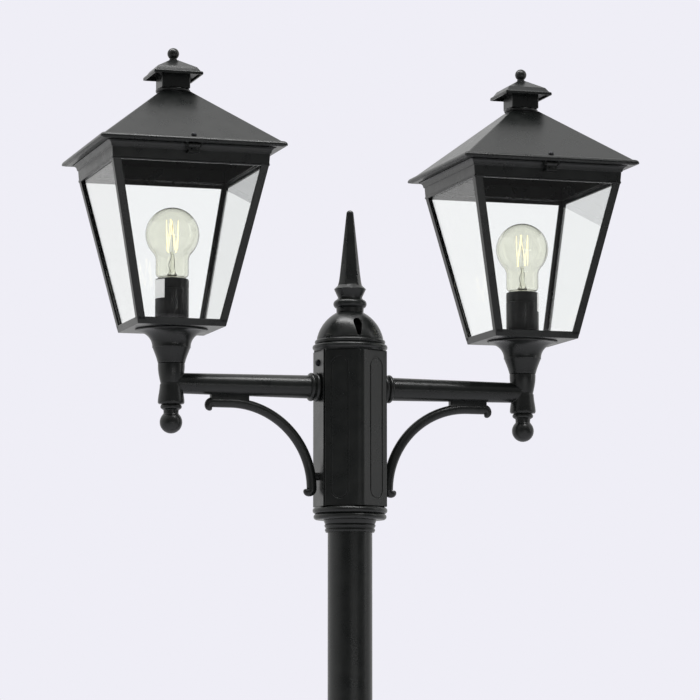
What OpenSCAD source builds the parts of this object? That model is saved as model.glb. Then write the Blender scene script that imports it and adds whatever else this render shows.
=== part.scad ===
// Twin-arm street lamp: a floor-standing post with two four-sided lanterns.
// Frame: +Z up, origin on the ground at the middle of the base, arms along X, front towards -Y.
// All sizes are in millimetres.

/* [Post] */
// Height of the arms' axis above the ground
arm_height = 1822; // [1200:1:3000]
// Outer diameter of the pole
pole_d = 50; // [40:1:60]
// Wall of the pole
pole_wall = 3; // [2:0.5:5]
// Diameter of the foot flange
base_d = 230; // [200:1:300]
// Thickness of the foot flange
base_plate_t = 14; // [8:1:20]
// Height of the cast foot with its neck
base_h = 210; // [160:1:320]
// Wall of the cast foot's bell
base_wall = 6; // [4:1:8]
// Diameter of the circle that the anchor holes lie on
anchor_pcd = 188; // [160:1:190]
// Diameter of an anchor hole
anchor_hole_d = 11; // [8:0.5:14]
// Number of anchor holes
anchor_count = 4; // [3:1:8]
// Diameter of the cable entry in the foot
cable_hole_d = 24; // [16:1:30]

/* [Head] */
// Hexagonal head, corner to corner
head_across = 86; // [80:1:110]
// Height of the head between its two collars
head_h = 175; // [150:1:240]
// Arms' axis below the top of the head
arm_drop = 41; // [34:1:60]
// Thickness of the side plates that carry the arms
side_t = 4; // [3:0.5:6]
// Thickness of the front and rear covers
cover_t = 2.5; // [2:0.5:4]
// Radius of the covers' nose
nose_r = 11; // [6:1:14]
// Open seam between a cover and a side plate
seam_w = 1.4; // [0.8:0.1:2]
// Width of the engraved line on the covers
line_w = 1.6; // [1:0.1:2.5]
// Depth of the engraved line
line_depth = 0.7; // [0.3:0.1:1]
// Half width of the engraved outline
line_half = 10.4; // [8:0.1:12]
// Distance from the engraved outline to the ends of the head
line_margin = 8; // [5:0.5:20]
// Height of the double-beaded collar under the head
collar_h = 14.5; // [10:0.5:20]
// Height of the pole collar below it
ring_h = 14; // [8:1:20]

/* [Dome and spire] */
// Diameter of the dome at its lip
dome_d = 74.8; // [60:0.2:90]
// Radius of the dome's curve
dome_curve_r = 43.3; // [38:0.1:60]
// Wall of the dome
dome_wall = 3; // [2:0.5:5]
// Height of the flange under the dome
dome_flange_h = 15; // [12:0.5:20]
// Length of the hexagonal spire
spire_h = 82.5; // [50:0.5:120]
// Spire at its base, corner to corner
spire_base = 26.8; // [20:0.2:34]
// Spire at its tip, corner to corner
spire_tip = 8.4; // [4:0.2:12]
// Angle at which the spire tightens
spire_turn = 23; // [0:1:60]
// Width of the drop-shaped slot in the dome
slot_w = 10; // [6:0.2:12]
// Height of that slot
slot_h = 20.2; // [14:0.1:22]

/* [Arms] */
// Distance from the post's axis to a lantern's axis
arm_reach = 207; // [190:1:300]
// Diameter of an arm at the head
arm_root_d = 26.4; // [22:0.2:34]
// Diameter of an arm at its elbow
arm_end_d = 22.6; // [18:0.2:30]
// Wiring bore along an arm
arm_bore_d = 12; // [8:1:16]
// Elbow diameter at the lantern seat
elbow_top_d = 29.8; // [24:0.2:36]
// Elbow diameter at its waist
elbow_waist_d = 24.4; // [22:0.2:32]
// Elbow diameter at its foot
elbow_foot_d = 29.6; // [24:0.2:36]
// Elbow above the arm's axis
elbow_up = 21.6; // [18:0.2:40]
// Elbow below the arm's axis
elbow_down = 23.2; // [16:0.2:40]
// Diameter of the spigot that a lantern turns on
spigot_d = 20; // [16:0.5:24]
// Height of that spigot
spigot_h = 22; // [14:1:30]
// Diameter of the rosettes at the head
rosette_d = 33.2; // [28:0.2:40]
// Length of a rosette
rosette_len = 11.5; // [6:0.5:16]

/* [Braces] */
// Radius of a brace's curve
brace_r = 94.3; // [60:0.1:95]
// Thickness of a brace
brace_d = 11.3; // [8:0.1:14]
// Diameter of a brace's upper curl
curl_top_d = 13.6; // [10:0.1:18]
// Diameter of a brace's lower curl
curl_foot_d = 13.0; // [10:0.1:18]
// Thickness of the saddle under the arm
saddle_t = 2.4; // [1.5:0.1:6]
// Length of the saddle
saddle_len = 44; // [30:1:50]
// Stand-off between brace and head
brace_stand = 2; // [1:0.5:6]

/* [Drop finials] */
// Diameter of the ball under an elbow
drop_ball_d = 25; // [16:0.2:30]
// Diameter of the finial's neck
drop_neck_d = 17.3; // [10:0.1:20]

/* [Lantern] */
// Height of the trumpet socket under the lantern
socket_h = 37.8; // [34:0.2:60]
// Diameter of the socket at its rim
socket_rim_d = 80.8; // [70:0.2:90]
// Width of the glass body at its bottom frame
plate_w = 99.2; // [92:0.2:140]
// Width of the glass body at its crown
crown_w = 174.6; // [150:0.2:200]
// Height of the glass body
body_h = 174; // [150:1:240]
// Height of the bottom frame's rail
rail_h = 7.6; // [6:0.2:12]
// Floor of the bottom frame
floor_t = 2.6; // [2:0.2:5]
// Width of a corner post
post_w = 9; // [8:0.5:14]
// Wall of a corner post
post_t = 2.6; // [2:0.2:4]
// Thickness of the glass
glass_t = 3; // [2:0.5:5]
// Height of the stepped crown under the roof
crown_h = 19.5; // [15:0.5:26]
// Width over the eaves
eave_w = 209; // [190:0.5:230]
// Height of the rolled eave lip
lip_h = 5.8; // [5:0.1:8]
// Height of the roof from its foot to the collar
roof_h = 69.5; // [55:0.5:90]
// Wall of the roof
roof_wall = 2.5; // [2:0.5:4]
// Width of the square chimney
chimney_w = 32.4; // [26:0.2:34]
// Diameter of the collar under the chimney
chimney_collar_d = 39; // [36:0.2:40]
// Height of the chimney above the roof
chimney_h = 20; // [16:0.5:30]
// Width of the chimney cap
cap_w = 56; // [50:0.2:70]
// Diameter of the ball on the cap
ball_d = 13.2; // [10:0.2:18]
// Diameter of the hood hinge's pin
hinge_pin_d = 3; // [2:0.5:4]
// Length of the hood hinge
hinge_len = 60; // [40:1:80]

/* [Catch] */
// Width of the hood catch
catch_w = 12.5; // [10:0.5:16]
// Height of the hood catch
catch_h = 9; // [8:0.5:10]

/* [Lamp] */
// Diameter of the bulb
bulb_d = 60; // [50:1:70]
// Diameter of the bulb's neck
bulb_neck_d = 36.8; // [32:0.2:37]
// Radius between the bulb's neck and its globe
bulb_blend_r = 14; // [8:0.5:16]
// Length of the bulb with its cap
bulb_len = 106; // [100:1:120]
// Diameter of the bulb's screw cap
cap_screw_d = 26; // [26:0.1:27]
// Diameter of the lampholder
holder_d = 37.4; // [34:0.2:44]
// Height of the lampholder
holder_h = 54; // [48:1:60]

/* [Fits] */
// Radial clearance of turning fits
running_gap = 0.06; // [0.02:0.01:0.1]
// Clearance between pieces that pass each other
loose_gap = 0.3; // [0.2:0.05:0.6]
// Clearance under a piece that turns on its seat
seat_gap = 0.2; // [0.1:0.05:0.4]

/* [Hidden] */
$fn = 64;
pole_r = pole_d / 2;
// heights on the post
head_top = arm_height + arm_drop;
head_low = head_top - head_h;
collar_low = head_low - collar_h;
ring_low = collar_low - ring_h;
pole_foot = base_plate_t;
pole_top = head_low + 16;
// hexagonal head
head_r = head_across / 2;
flat_x = head_r * cos(30);
plate_half = head_r / 2;
sleeve_r = pole_r + 4;
side_screw_z = head_top - 13.5;
side_screw_r = 2;
foot_screw_z = base_h - 22;
foot_screw_r = 4;
// dome and spire
dome_base = head_top + dome_flange_h;
dome_centre = dome_base - 9;
dome_start = asin((dome_base - dome_centre) / dome_curve_r);
dome_shift = dome_d / 2 - dome_curve_r * cos(dome_start);
neck_r = 15.2;
dome_top = dome_centre + sqrt(pow(dome_curve_r, 2) - pow(neck_r - dome_shift, 2));
stud_r = 4;
stud_boss_r = stud_r + 4;
spire_foot = dome_top + 31;
// elbow and arm
arm_tip = arm_reach - elbow_waist_d / 2 + 3;
function arm_r(x) = arm_root_d / 2 - (x - flat_x) / (arm_reach - flat_x) * (arm_root_d - arm_end_d) / 2;
seat_z = arm_height + elbow_up;
stub_r = 9;
stub_hole_r = stub_r + 0.1;
stub_len = side_t + 10;
drop_stud_r = 5;
// brace
brace_x = flat_x + brace_stand + brace_d / 2 + brace_r;
brace_top_drop = arm_r(brace_x) + saddle_t + brace_d / 2;
brace_low = arm_height - brace_top_drop - brace_r;
// lantern heights
socket_z = seat_z + seat_gap;
grub_z = socket_z + 8;
grub_r = 2.5;
frame_z = seat_z + socket_h;
crown_z = frame_z + body_h;
hood_z = crown_z + crown_h + 0.5;
flange_t = 2.5;
eave_z = hood_z + flange_t;
lip_top = hood_z + lip_h;
roof_top = eave_z + roof_h;
collar_r = chimney_collar_d / 2;
chimney_half = chimney_w / 2;
roof_foot_half = eave_w / 2 - 1;
throat_half = chimney_half - 2.4;
lean = (crown_w - plate_w) / 2 / body_h;
function body_half(z) = plate_w / 2 + lean * (z - frame_z);
function roof_half(z) = roof_foot_half - (roof_foot_half - chimney_half) * (z - eave_z) / roof_h;
collar_top = roof_top + 4.5;
cap_z = roof_top + chimney_h;
cap_top = cap_z + 17;
cap_stud_r = 2.5;
ball_z = cap_top + 1 + ball_d / 2;
// hinge behind the crown and catch in front of it
hinge_r = hinge_pin_d / 2 + 1.9;
hinge_y = eave_w / 2 - hinge_r - 1.6;
hinge_z = hood_z - hinge_r - 0.4;
knuckle_len = hinge_len / 4;
catch_pin_r = 1.2;
catch_r = 2.3;
catch_y = -(eave_w / 2 - 6.5);
catch_z = hood_z - catch_r - 0.5;
// lamp
holder_z = frame_z + floor_t;
holder_top = holder_z + holder_h;
bulb_top = holder_top - 26 + bulb_len;
bulb_z = bulb_top - bulb_d / 2;
cap_low = bulb_top - bulb_len;
cap_r = cap_screw_d / 2;
nipple_r = 5;
// the glass stands on the cap, swells over the holder's rim and is this thick
cap_glass_z = 22;
shoulder_r = 5;
bulb_wall = 0.8;

SIDES = ["left", "right"];
LANTERN = ["socket", "grub_screws", "bottom_frame", "corner_posts", "crown_frame", "glass_front",
           "glass_rear", "glass_left", "glass_right", "hinge_pin", "lampholder", "hood", "chimney",
           "chimney_cap", "ball_finial", "hood_screw", "catch", "bulb_glass", "bulb_cap", "bulb_filament"];

paint = [0.16, 0.17, 0.17];
zinc = [0.62, 0.63, 0.65];
black_plastic = [0.05, 0.05, 0.05];
clear_glass = [0.85, 0.93, 0.92, 0.3];

// Points on an arc about [cx, cy], from angle a0 to angle a1
function arc(cx, cy, r, a0, a1, n = 8) =
    [for (i = [0:n]) let (a = a0 + (a1 - a0) * i / n) [cx + r * cos(a), cy + r * sin(a)]];

// A solid between two level outlines with the same number of points
module taper(low, z0, high, z1) {
    n = len(low);
    polyhedron(
        points = concat([for (p = low) [p[0], p[1], z0]], [for (p = high) [p[0], p[1], z1]]),
        faces = concat([[for (i = [0:n - 1]) i]], [[for (i = [0:n - 1]) 2 * n - 1 - i]],
                       [for (i = [0:n - 1]) [i, n + i, n + (i + 1) % n, (i + 1) % n]]));
}

function square_outline(h) = [[-h, -h], [h, -h], [h, h], [-h, h]];

// A square frustum of half width h0 at z0 and h1 at z1
module frustum(h0, z0, h1, z1) taper(square_outline(h0), z0, square_outline(h1), z1);

module ring(r_out, r_in, z0, h) {
    translate([0, 0, z0]) difference() {
        cylinder(r = r_out, h = h);
        translate([0, 0, -1]) cylinder(r = r_in, h = h + 2);
    }
}

module at_side(s) translate([s * arm_reach, 0, 0]) children();

// ---- Post ----

// Cast foot: bolted flange, bell and the neck that holds the pole
module base_casting() {
    bell_r = base_d / 2 - 45;
    neck_out = pole_r + 9;
    throat_out = neck_out + 4;
    curve_h = base_h - 62 - base_plate_t;
    hollow_r = bell_r + 4 - base_wall;
    color(paint) difference() {
        rotate_extrude() polygon(concat(
            [[cable_hole_d / 2, 0], [base_d / 2, 0], [base_d / 2, base_plate_t - 3]],
            [[base_d / 2 - 3, base_plate_t], [bell_r + 4, base_plate_t], [bell_r + 4, base_plate_t + 6]],
            [for (p = arc(0, 0, 1, 0, 90, 20))
                [throat_out + (bell_r - throat_out) * (1 - p[1]), base_plate_t + 8 + curve_h * (1 - p[0])]],
            arc(neck_out + 2, base_h - 44, 5, -60, 60, 6),
            [[neck_out, base_h - 36], [neck_out, base_h - 8]],
            arc(neck_out - 1, base_h - 5, 4, -60, 60, 6),
            [[neck_out - 3, base_h], [pole_r + running_gap, base_h]],
            [[pole_r + running_gap, pole_foot], [cable_hole_d / 2, pole_foot]]));
        rotate_extrude() polygon(concat(
            [[neck_out - 2, -1], [hollow_r, -1], [hollow_r, base_plate_t]],
            [for (p = arc(0, 0, 1, 0, 60, 12))
                [neck_out - 1 + (hollow_r - neck_out + 1) * (1 - p[1]), base_plate_t + curve_h * (1 - p[0])]],
            [[neck_out - 2, base_plate_t + curve_h * 0.5]]));
        for (i = [0:anchor_count - 1]) rotate([0, 0, 45 + i * 360 / anchor_count])
            translate([anchor_pcd / 2, 0, -1]) cylinder(d = anchor_hole_d, h = base_plate_t + 2);
        for (i = [0:2]) rotate([0, 0, 90 + i * 120]) translate([0, 0, foot_screw_z])
            rotate([0, 90, 0]) cylinder(r = foot_screw_r + running_gap, h = neck_out + 5);
    }
}

// Three set screws that clamp the pole in the foot
module base_screws() {
    color(zinc) for (i = [0:2]) rotate([0, 0, 90 + i * 120]) translate([pole_r + 0.05, 0, foot_screw_z])
        rotate([0, 90, 0]) difference() {
            cylinder(r = foot_screw_r, h = 8);
            translate([0, 0, 4.5]) cylinder(r = foot_screw_r * 0.58, h = 5, $fn = 6);
        }
}

module pole() {
    color(paint) translate([0, 0, pole_foot]) difference() {
        cylinder(r = pole_r, h = pole_top - pole_foot);
        translate([0, 0, -1]) cylinder(r = pole_r - pole_wall, h = pole_top - pole_foot + 2);
    }
}

// Stepped slip ring where the pole enters the head
module pole_collar() {
    color(paint) rotate_extrude() polygon(concat(
        [[pole_r + running_gap, ring_low], [pole_r + 2.4, ring_low]],
        arc(pole_r + 1.2, ring_low + 2.5, 2, -60, 60, 5),
        [[pole_r + 2.7, ring_low + 5.5]],
        arc(pole_r + 1.7, ring_low + 7.5, 2, -60, 60, 5),
        [[pole_r + 3.3, ring_low + 10], [pole_r + 4.9, collar_low], [pole_r + running_gap, collar_low]]));
}

// Double-beaded collar that carries the head on the pole
module head_collar() {
    bead_r = head_r - 1.2;
    color(paint) difference() {
        union() {
            rotate_extrude() polygon(concat(
                [[pole_r + running_gap, collar_low], [bead_r - 4, collar_low]],
                arc(bead_r - 4.2, collar_low + 3.4, 3.4, -90, 90, 8),
                arc(bead_r - 3.4, collar_low + 10.4, 3.6, -90, 80, 8),
                [[bead_r - 4, head_low], [pole_r + running_gap, head_low]]));
            ring(sleeve_r, pole_r + running_gap, head_low - 1, 13);
        }
        for (a = [0, 180]) rotate([0, 0, a]) translate([0, -sleeve_r - 1, head_low + 6])
            rotate([-90, 0, 0]) cylinder(r = 2.5, h = 6);
    }
}

// Frame of the head: two side plates on a top bridge and a bottom bridge
module head_frame() {
    bridge_half = flat_x - side_t;
    color(paint) difference() {
        union() {
            for (m = [0, 1]) mirror([m, 0, 0])
                translate([flat_x - side_t, -plate_half + seam_w, head_low])
                    cube([side_t, 2 * (plate_half - seam_w), head_h]);
            translate([-bridge_half, -15, head_top - 5]) cube([2 * bridge_half, 30, 5]);
            for (m = [0, 1]) mirror([m, 0, 0]) translate([-bridge_half, -12, head_low])
                cube([bridge_half - sleeve_r - loose_gap, 24, 4]);
            translate([-bridge_half, -12, head_low + 30]) cube([2 * bridge_half, 3, 22]);
        }
        translate([0, 0, head_top - 8]) cylinder(r = 6, h = 12);
        for (m = [0, 1]) mirror([m, 0, 0]) {
            translate([flat_x - side_t - 1, 0, arm_height]) rotate([0, 90, 0])
                cylinder(r = stub_hole_r, h = side_t + 2);
            translate([flat_x - side_t - 1, 0, side_screw_z]) rotate([0, 90, 0])
                cylinder(r = side_screw_r + 0.6, h = side_t + 2);
        }
    }
}

// Outline of a cover, inset by d: two facets of the hexagon that meet in a rounded nose
function cover_outline(d) =
    let (nose_y = nose_r / cos(30) - head_r, edge_y = -plate_half - seam_w * 0.45,
         edge_x = 2 * (flat_x - d) + edge_y / tan(30))
    concat([[-edge_x, edge_y]], arc(0, nose_y, nose_r - d, -120, -60, 8), [[edge_x, edge_y]]);

// The engraved line: a long outline with round ends
module stadium_line() {
    half_len = (head_h - 2 * line_margin) / 2 - line_half;
    difference() {
        stadium(line_half, half_len);
        stadium(line_half - line_w, half_len);
    }
}

module stadium(r, half_len) {
    for (s = [-1, 1]) translate([0, s * half_len]) circle(r = r);
    square([2 * r, 2 * half_len], center = true);
}

// A removable cover over the wiring, with an engraved line on each facet
module cover() {
    gap = 0.4;
    line_off = (nose_r * tan(30)) / 2;
    color(paint) difference() {
        translate([0, 0, head_low + gap]) linear_extrude(head_h - 2 * gap)
            polygon(concat(cover_outline(0), [for (i = [10:-1:0]) cover_outline(cover_t)[i]]));
        for (a = [-30, 30]) rotate([0, 0, a])
            translate([sign(a) * line_off, -(flat_x - line_depth), head_low + head_h / 2])
                rotate([90, 0, 0]) linear_extrude(2) stadium_line();
    }
}

module front_cover() cover();
module rear_cover() mirror([0, 1, 0]) cover();

// Connector block on the frame's web
module terminal_block() {
    ways = 5;
    pitch = 9;
    color([0.85, 0.83, 0.78]) translate([-ways * pitch / 2, -9, head_low + 34]) difference() {
        cube([ways * pitch, 16, 14]);
        for (i = [0:ways - 1]) translate([(i + 0.5) * pitch, 0, 0]) {
            translate([0, 8, 6]) cylinder(r = 2.4, h = 10);
            translate([0, 5, 5]) rotate([-90, 0, 0]) cylinder(r = 2.2, h = 12);
        }
    }
}

// Dome that closes the head, with a drop-shaped slot in front and behind
module dome_cap() {
    r = dome_d / 2;
    inner = dome_curve_r - dome_wall;
    outer_end = acos((neck_r - dome_shift) / dome_curve_r);
    inner_end = acos((stud_boss_r - dome_shift) / inner);
    flange_r = head_r - 0.65;
    color(paint) difference() {
        rotate_extrude() polygon(concat(
            [[r - dome_wall - 1, head_top], [flange_r - 1.5, head_top]],
            arc(flange_r - 3.2, head_top + 4.6, 3.2, -60, 80, 8),
            arc(r - 0.2, head_top + 10.6, 2.6, -70, 90, 8),
            [[r, dome_base - 1]],
            arc(dome_shift, dome_centre, dome_curve_r, dome_start, outer_end, 32),
            [[stud_r + running_gap, dome_top], [stud_r + running_gap, dome_top - 9]],
            arc(dome_shift, dome_centre, inner, inner_end, dome_start, 20),
            [[r - dome_wall - 1, dome_base - 2]]));
        for (a = [0, 180]) rotate([0, 0, a]) dome_slot();
    }
    color(paint) for (m = [0, 1]) mirror([m, 0, 0]) dome_lug();
}

// Lug inside a side plate that the side screw pulls on
module dome_lug() {
    x1 = flat_x - side_t - 0.1;
    difference() {
        union() {
            translate([x1 - 4, -16.5 + seam_w, head_top - 20]) cube([4, 30 - seam_w, 15 - loose_gap]);
            for (s = [-1, 1]) translate([x1 - 4, s * 17.2 - 1.6, head_top - 20]) cube([4, 3.2, 21]);
        }
        translate([x1 - 5, 0, side_screw_z]) rotate([0, 90, 0]) cylinder(r = side_screw_r + 0.1, h = 8);
    }
}

// Cutter for the slot: round above, narrow below, and clear of the spire's boss
module dome_slot() {
    r = slot_w / 2;
    low_z = dome_base + 0.5;
    top_z = low_z + slot_h - r;
    low_half = r * 0.48;
    translate([0, -dome_d / 4, 0]) rotate([90, 0, 0]) linear_extrude(dome_d / 2) {
        translate([0, top_z]) circle(r = r);
        polygon([[-r, top_z], [r, top_z], [low_half, low_z], [-low_half, low_z]]);
    }
}

// Two pan-head screws that hold the dome's lugs to the side plates
module side_screws() {
    color(zinc) for (m = [0, 1]) mirror([m, 0, 0]) translate([flat_x, 0, side_screw_z]) rotate([0, 90, 0]) {
        difference() {
            rotate_extrude() polygon(concat([[0, 0.02], [4, 0.02]], arc(0.6, 0, 3.4, 8, 80, 6), [[0, 3.35]]));
            translate([-5, -0.5, 2]) cube([10, 1, 3]);
        }
        translate([0, 0, -side_t - 3.6]) cylinder(r = side_screw_r, h = side_t + 3.7);
    }
}

// Hexagonal spire on a turned collar, screwed into the dome
module finial_spire() {
    base_r = spire_base / 2;
    z0 = dome_top;
    color(paint) {
        rotate_extrude() polygon(concat(
            [[0, z0], [neck_r, z0]],
            arc(neck_r - 1.4, z0 + 9.8, 5, -70, 70, 8),
            [[13.6, z0 + 17.4], [17.6, z0 + 26], [17.4, z0 + 27.6], [base_r * 0.95, spire_foot + 0.4],
             [0, spire_foot + 0.4]]));
        translate([0, 0, spire_foot]) rotate([0, 0, spire_turn - 90]) {
            cylinder(r1 = base_r, r2 = spire_tip / 2, h = spire_h, $fn = 6);
            translate([0, 0, spire_h]) cylinder(r1 = spire_tip / 2, r2 = spire_tip / 4, h = 2, $fn = 6);
        }
        translate([0, 0, z0 - 12]) cylinder(r = stud_r, h = 13);
    }
}

// ---- Arms ----

// One arm: tapered tube, elbow and the spigot that the lantern sits on
module arm() {
    top_r = elbow_top_d / 2;
    waist_r = elbow_waist_d / 2;
    foot_r = elbow_foot_d / 2;
    throat_h = elbow_up * 0.9;
    color(paint) difference() {
        union() {
            translate([flat_x, 0, arm_height]) rotate([0, 90, 0])
                cylinder(r1 = arm_root_d / 2, r2 = arm_r(arm_tip), h = arm_tip - flat_x);
            translate([flat_x - stub_len, 0, arm_height]) rotate([0, 90, 0])
                cylinder(r = stub_r, h = stub_len + 1);
            translate([arm_reach, 0, arm_height]) rotate_extrude() polygon(concat(
                [[0, -elbow_down], [foot_r - 0.8, -elbow_down], [foot_r, -elbow_down + 1.4]],
                [for (i = [1:9]) let (t = i / 10)
                    [foot_r + (waist_r - foot_r) * (1 - cos(180 * t)) / 2, (1.4 - elbow_down) * (1 - t)]],
                [[waist_r, 0]],
                [for (i = [1:7]) let (t = i / 8) [waist_r + (top_r - waist_r) * sin(90 * t), throat_h * t]],
                [[top_r, throat_h], [top_r, elbow_up], [0, elbow_up]]));
            translate([arm_reach, 0, seat_z - 1]) cylinder(r = spigot_d / 2, h = spigot_h + 1);
        }
        translate([flat_x - stub_len - 1, 0, arm_height]) rotate([0, 90, 0])
            cylinder(d = arm_bore_d, h = arm_reach - flat_x + stub_len + 1);
        translate([arm_reach, 0, arm_height - 1]) cylinder(d = arm_bore_d, h = elbow_up + spigot_h + 2);
        translate([arm_reach, 0, arm_height - elbow_down - 1])
            cylinder(r = drop_stud_r + running_gap, h = elbow_down);
    }
}

module right_arm() arm();
module left_arm() mirror([1, 0, 0]) arm();

// Double-beaded rosettes that cover the arms' joints with the head
module arm_rosettes() {
    r = rosette_d / 2;
    bead = rosette_len / 4;
    color(paint) for (m = [0, 1]) mirror([m, 0, 0]) translate([flat_x, 0, arm_height]) rotate([0, 90, 0])
        rotate_extrude() polygon(concat(
            [[arm_root_d / 2 + 0.1, 0], [r - bead, 0]],
            arc(r - bead, bead, bead, -90, 70, 7),
            arc(r - bead - 0.6, 3 * bead, bead, -70, 90, 7),
            [[arm_root_d / 2 + 0.1, rosette_len]]));
}

// Lock nuts on the arms' stubs inside the head
module arm_locknuts() {
    color(zinc) for (m = [0, 1]) mirror([m, 0, 0])
        translate([flat_x - side_t - 6, 0, arm_height]) rotate([0, 90, 0]) difference() {
            cylinder(r = 13, h = 5.9, $fn = 6);
            translate([0, 0, -1]) cylinder(r = stub_r + running_gap, h = 8);
        }
}

// One curved brace with curled ends, a saddle under the arm and a foot on the head
module brace() {
    r = brace_d / 2;
    top_z = brace_low + brace_r;
    curl_x = brace_x + 20.8;
    foot_x = brace_x - brace_r;
    color(paint) {
        translate([brace_x, 0, brace_low]) rotate([90, 0, 0]) rotate([0, 0, 90])
            rotate_extrude(angle = 90) translate([brace_r, 0]) circle(r = r, $fn = 32);
        translate([brace_x, 0, top_z]) rotate([0, 90, 0]) cylinder(r = r, h = curl_x - brace_x);
        translate([curl_x, 0, top_z - 3.4]) sphere(d = curl_top_d);
        translate([foot_x + 5.6, 0, brace_low - 0.2]) sphere(d = curl_foot_d);
        difference() {
            translate([curl_x - saddle_len, -4.5, top_z]) cube([saddle_len, 9, brace_top_drop]);
            translate([flat_x, 0, arm_height]) rotate([0, 90, 0])
                cylinder(r1 = arm_root_d / 2 + 0.05, r2 = arm_r(arm_reach) + 0.05, h = arm_reach - flat_x);
            translate([flat_x, -arm_root_d, arm_height - arm_end_d / 2 + 3])
                cube([arm_reach, 2 * arm_root_d, arm_root_d]);
        }
        translate([flat_x + 0.02, 0, brace_low + 14]) rotate([0, 90, 0])
            cylinder(r = 4.5, h = brace_stand + r);
    }
}

module right_brace() brace();
module left_brace() mirror([1, 0, 0]) brace();

// Turned ball finials screwed up into the elbows
module drop_finials() {
    ball_r = drop_ball_d / 2;
    neck = drop_neck_d / 2;
    z0 = arm_height - elbow_down;
    color(paint) for (s = [-1, 1]) at_side(s) {
        rotate_extrude() polygon(concat(
            [[0, z0 - 9 - 2 * ball_r]],
            arc(0, z0 - 8 - ball_r, ball_r, -88, 42, 20),
            [[neck - 0.8, z0 - 14.6], [neck, z0 - 13.6], [neck - 0.4, z0 - 8.5]],
            arc(neck + 0.2, z0 - 3, 4, -70, 60, 7),
            [[elbow_foot_d / 2 - 2, z0], [0, z0]]));
        translate([0, 0, z0 - 1]) cylinder(r = drop_stud_r, h = 15);
    }
}

// ---- Lantern, drawn about its own axis and set at each arm's end ----

// Trumpet socket that carries the lantern and turns on the elbow's spigot
module socket() {
    rim = socket_rim_d / 2;
    foot = elbow_top_d / 2 + 0.1;
    ring_z = socket_z + 17.6;
    top = frame_z;
    color(paint) difference() {
        rotate_extrude() polygon(concat(
            [[spigot_d / 2 + running_gap, socket_z], [foot, socket_z], [foot + 0.3, socket_z + 1]],
            [for (i = [1:7]) let (t = i / 8) [foot + 0.3 + 5.4 * pow(t, 1.2), socket_z + 1 + 15.6 * t]],
            [[foot + 5.7, ring_z - 0.8], [foot + 6.3, ring_z]],
            [for (p = arc(0, 0, 1, 0, 86, 20))
                [foot + 6.3 + (rim - foot - 6.9) * (1 - p[0]), ring_z + (top - 1.8 - ring_z) * p[1]]],
            [[rim, top - 1.8], [rim, top], [rim - 7, top], [24, top - 7]],
            [[spigot_d / 2 + 3, seat_z + spigot_h + 1]],
            [[spigot_d / 2 + running_gap, seat_z + spigot_h - 3]]));
        for (a = [60, 120]) rotate([0, 0, a]) translate([spigot_d / 2 - 1, 0, grub_z])
            rotate([0, 90, 0]) cylinder(r = grub_r + running_gap, h = 14);
    }
}

// Set screws that lock the socket on the spigot
module grub_screws() {
    color(zinc) for (a = [60, 120]) rotate([0, 0, a])
        translate([spigot_d / 2 + 0.08, 0, grub_z]) rotate([0, 90, 0]) difference() {
            cylinder(r = grub_r, h = 7);
            translate([0, 0, 4]) cylinder(r = grub_r * 0.56, h = 4, $fn = 6);
        }
}

// Square tray that the glass stands in
module bottom_frame() {
    rail_top = frame_z + rail_h;
    lip_in = post_t + glass_t + 0.5;
    color(paint) difference() {
        frustum(body_half(frame_z), frame_z, body_half(rail_top), rail_top);
        frustum(body_half(frame_z) - lip_in - 2, frame_z + floor_t,
                body_half(rail_top) - lip_in - 2, rail_top + 0.01);
        difference() {
            frustum(body_half(frame_z + floor_t) - post_t, frame_z + floor_t,
                    body_half(rail_top) - post_t, rail_top + 0.01);
            frustum(body_half(frame_z + floor_t) - lip_in, frame_z + floor_t - 1,
                    body_half(rail_top) - lip_in, rail_top + 1);
        }
        translate([0, 0, frame_z - 1]) cylinder(r = nipple_r + 0.1, h = floor_t + 2);
    }
}

// Outline of one angle-section corner post whose outer corner lies at half width h
function post_outline(h) =
    let (toe = h - post_w, inner = h - post_t)
    [[h, h], [toe, h], [toe, inner], [inner, inner], [inner, toe], [h, toe]];

// Four angle-section posts that lean outwards
module corner_posts() {
    z0 = frame_z + rail_h;
    color(paint) for (i = [0:3]) rotate([0, 0, i * 90])
        taper(post_outline(body_half(z0)), z0, post_outline(body_half(crown_z)), crown_z);
}

// Stepped crown that ties the posts together and carries the hood's hinge
module crown_frame() {
    h0 = body_half(crown_z);
    top = crown_z + crown_h;
    step_z = top - 5;
    inner = h0 - post_t - glass_t - 1;
    ear_y = h0 + 1.9;
    color(paint) difference() {
        union() {
            frustum(h0, crown_z, h0 + 1.9, step_z);
            frustum(h0 + 1.9, step_z, h0 + 7.1, top);
            translate([-knuckle_len, 0, hinge_z]) rotate([0, 90, 0])
                translate([0, hinge_y, 0]) cylinder(r = hinge_r, h = 2 * knuckle_len);
            translate([-knuckle_len, ear_y - 1, hinge_z - 2])
                cube([2 * knuckle_len, hinge_y - ear_y + 1, 4]);
        }
        frustum(inner, crown_z - 1, inner, top + 1);
        frustum(h0 - post_t, crown_z - 1, h0 - post_t + lean * 7, crown_z + 6);
        translate([-hinge_len, hinge_y, hinge_z]) rotate([0, 90, 0])
            cylinder(r = hinge_pin_d / 2 + running_gap, h = 2 * hinge_len);
    }
}

// One pane, leaning with the body, that stands in the tray and reaches up behind the crown
module pane() {
    z0 = frame_z + floor_t + 0.2;
    z1 = crown_z + 5.5;
    out0 = body_half(z0) - post_t - 0.25;
    out1 = body_half(z1) - post_t - 0.25;
    side0 = out0 - glass_t - 0.4;
    side1 = out1 - glass_t - 0.4;
    color(clear_glass) taper(
        [[-side0, -out0], [side0, -out0], [side0, -out0 + glass_t], [-side0, -out0 + glass_t]], z0,
        [[-side1, -out1], [side1, -out1], [side1, -out1 + glass_t], [-side1, -out1 + glass_t]], z1);
}

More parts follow.
